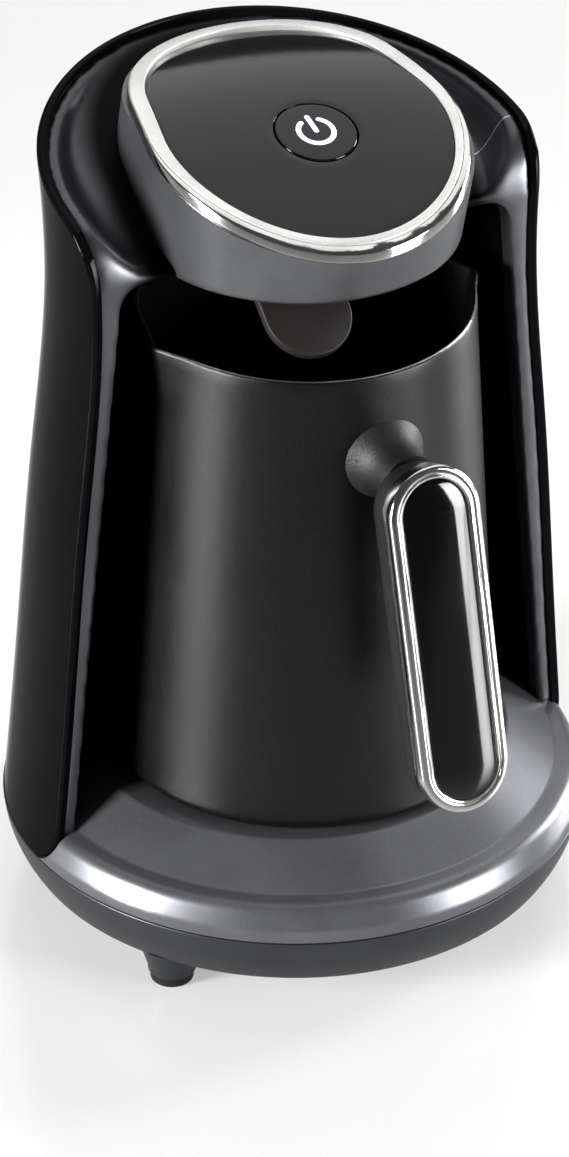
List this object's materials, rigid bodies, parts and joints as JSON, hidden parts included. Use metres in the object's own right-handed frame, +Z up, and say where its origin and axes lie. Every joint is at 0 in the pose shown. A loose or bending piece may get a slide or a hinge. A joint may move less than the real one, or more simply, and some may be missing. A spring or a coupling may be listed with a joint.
{
  "type": "electric turkish coffee maker",
  "caption": "Electric Turkish coffee maker: a flared coffee pot with a long front handle stands in a niche between two wings, under a round head with a crowned panel and a lit power button.",
  "frame": {"origin": "on the floor, on the vertical axis of the round base", "axes": "+Z up, front (pot handle) towards -Y, +X to the viewer's right seen from the front"},
  "size_m": [0.166, 0.1881, 0.2426],
  "materials": {
    "base_charcoal": "satin charcoal with a fine metallic fleck",
    "hood_charcoal": "satin charcoal with a fine metallic fleck",
    "shell_gloss": "piano black gloss",
    "niche_black": "matt black",
    "panel_gloss": "very dark gloss",
    "bright_trim": "satin top face and polished edge",
    "button_gloss": "dark gloss with fine ring grooves",
    "lit_symbol": "back-lit white",
    "pot_coating": "black non-stick coating with a fine fleck",
    "pot_steel": "turned",
    "grip_black": "fine texture",
    "inlay_gloss": "piano black gloss",
    "tongue_brown": "satin",
    "rubber_black": "matt",
    "heater_metal": "turned plate",
    "screw_steel": "zinc plated",
    "board_green": "circuit board",
    "part_black": "moulded component",
    "part_cream": "moulded component",
    "seal_silicone": "silicone",
    "window_clear": "tinted"
  },
  "bodies": {
    "housing": {"base_tray": "base_charcoal", "base_cover": "base_charcoal", "rubber_feet": "rubber_black", "base_screws": "screw_steel", "cord_gland": "rubber_black", "heater_plate": "heater_metal", "plate_seal": "seal_silicone", "heating_element": "heater_metal", "heater_bracket": "screw_steel", "bracket_screws": "screw_steel", "thermostat": "part_cream", "temperature_probe": "heater_metal", "thermal_fuse": "part_cream", "main_board": "board_green", "board_screws": "screw_steel", "relay": "part_black", "capacitor": "part_black", "terminal_block": "part_cream", "head_ribbon": "part_cream", "outer_shell": "shell_gloss", "inner_hood": "hood_charcoal", "niche_liner": "niche_black", "head_floor": "niche_black", "head_screws": "screw_steel", "top_panel": "panel_gloss", "trim_ring": "bright_trim", "panel_carrier": "part_black", "tact_switch": "part_black", "display_board": "board_green", "indicator_lamps": "window_clear", "button_spring": "screw_steel", "buzzer": "part_black", "sensor_tongue": "tongue_brown", "sensor_window": "window_clear", "sensor_board": "board_green"},
    "pot": {"pot_body": "pot_coating", "pot_disc": "pot_steel", "handle_neck": "grip_black", "handle_grip": "grip_black", "handle_frame": "bright_trim", "handle_inlay": "inlay_gloss", "handle_screw": "screw_steel"},
    "button": {"power_button": "button_gloss", "power_symbol": "lit_symbol"}
  },
  "joints": [
    {"name": "pot_slide", "type": "slide", "parent": "housing", "child": "pot", "axis": [0, -1, 0], "range_m": [0, 0.14]},
    {"name": "button_press", "type": "slide", "parent": "housing", "child": "button", "axis": [0, 0.2723, -0.9622], "range_m": [0, 0.0005], "stiffness_N_per_m": 400, "springref_m": -0.0005}
  ]
}
